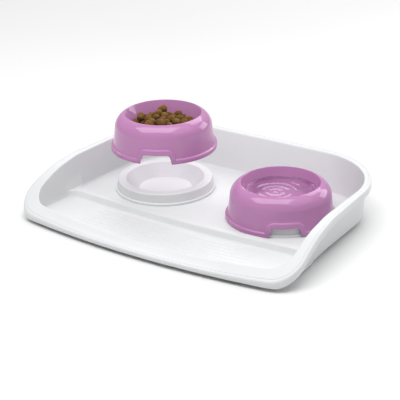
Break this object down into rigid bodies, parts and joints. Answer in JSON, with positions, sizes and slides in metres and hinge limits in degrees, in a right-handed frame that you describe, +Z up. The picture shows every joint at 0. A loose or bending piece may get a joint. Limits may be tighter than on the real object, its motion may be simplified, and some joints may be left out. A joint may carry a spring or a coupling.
{
  "type": "double pet bowl",
  "caption": "Moulded feeding tray with a high back, a low front lip and a ribbed front strip, with ring seats that carry lift-off bowls with finger notches for a pet's food and water.",
  "frame": {"origin": "on the ground, under the middle of the tray", "axes": "+X along the tray from the food bowl's side to the water bowl's side, -Y towards the low front lip, +Z up"},
  "size_m": [0.4116, 0.314, 0.1139],
  "materials": {
    "tray_plastic": "smooth, softly glossy white",
    "bowl_plastic": "glossy mauve pink",
    "foot_rubber": "matt grey"
  },
  "bodies": {
    "tray": {"tray": "tray_plastic", "foot_front_left": "foot_rubber", "foot_front_right": "foot_rubber", "foot_back_left": "foot_rubber", "foot_back_right": "foot_rubber"},
    "food_bowl": {"food_bowl": "bowl_plastic"},
    "water_bowl": {"water_bowl": "bowl_plastic"}
  },
  "joints": [
    {"name": "food_bowl_lift", "type": "slide", "parent": "tray", "child": "food_bowl", "axis": [0, 0, 1], "range_m": [-0.0585, 0.04]},
    {"name": "water_bowl_lift", "type": "slide", "parent": "tray", "child": "water_bowl", "axis": [0, 0, 1], "range_m": [0, 0.0985]}
  ]
}
